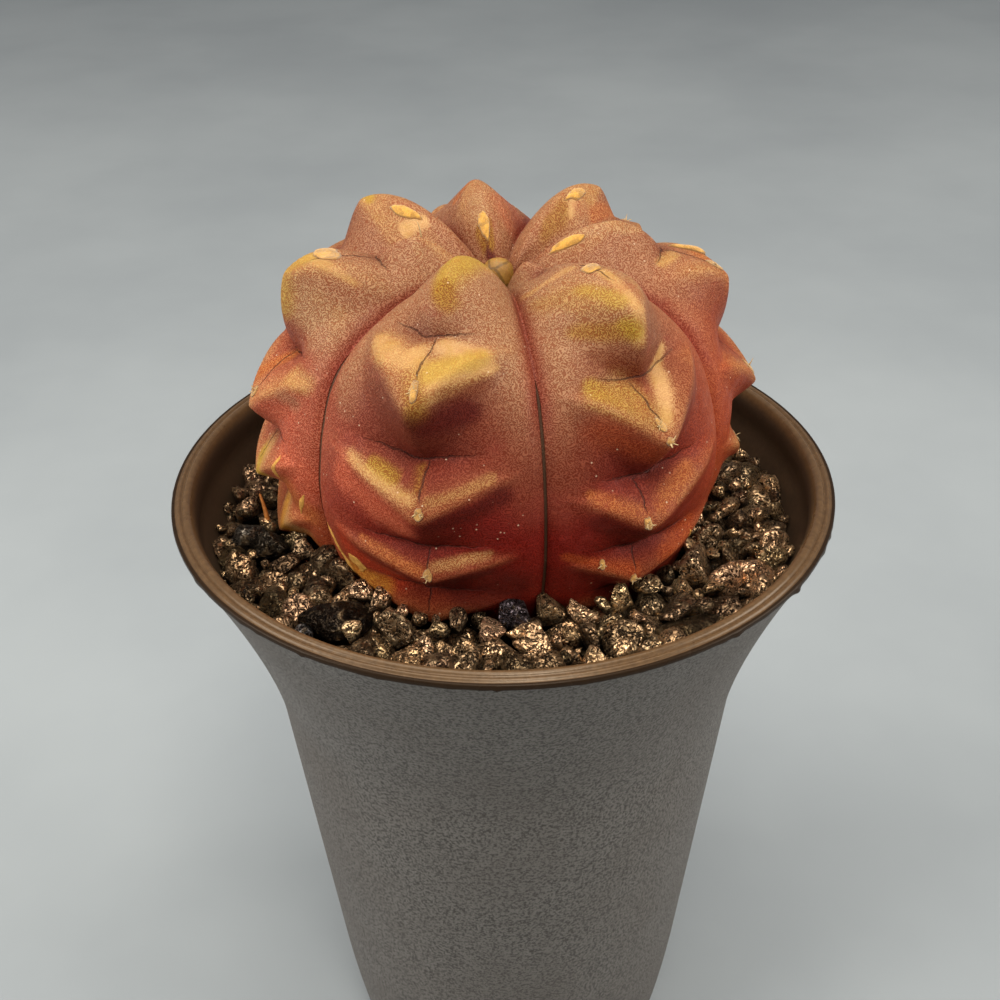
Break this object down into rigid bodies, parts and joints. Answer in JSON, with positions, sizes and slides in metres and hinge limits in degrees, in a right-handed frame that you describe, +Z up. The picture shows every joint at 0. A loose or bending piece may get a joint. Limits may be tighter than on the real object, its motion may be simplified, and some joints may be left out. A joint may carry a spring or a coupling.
{
  "type": "potted moon cactus",
  "caption": "Low ribbed cactus with blunt tubercles, set in dark gravel in a tapering, flared plastic nursery pot.",
  "frame": {"origin": "middle of the pot's foot, on the surface that the pot stands on", "axes": "+Z up along the pot's axis; -Y is the side that the picture is taken from"},
  "size_m": [0.085, 0.085, 0.1297],
  "materials": {
    "pot_plastic": "matte black-grey plastic with a fine sand-blasted grain, satin at the lip",
    "potting_mix": "damp dark potting mix, rough and crumbly",
    "gravel_stone": "near-black crinkled stones with a dull wax-like gloss",
    "cactus_skin": "finely granular waxy plant skin, rose-brown and crimson with ochre ridges"
  },
  "bodies": {
    "root": {"pot": "pot_plastic", "potting_mix": "potting_mix", "gravel": "gravel_stone", "cactus_stem": "cactus_skin"}
  },
  "joints": []
}
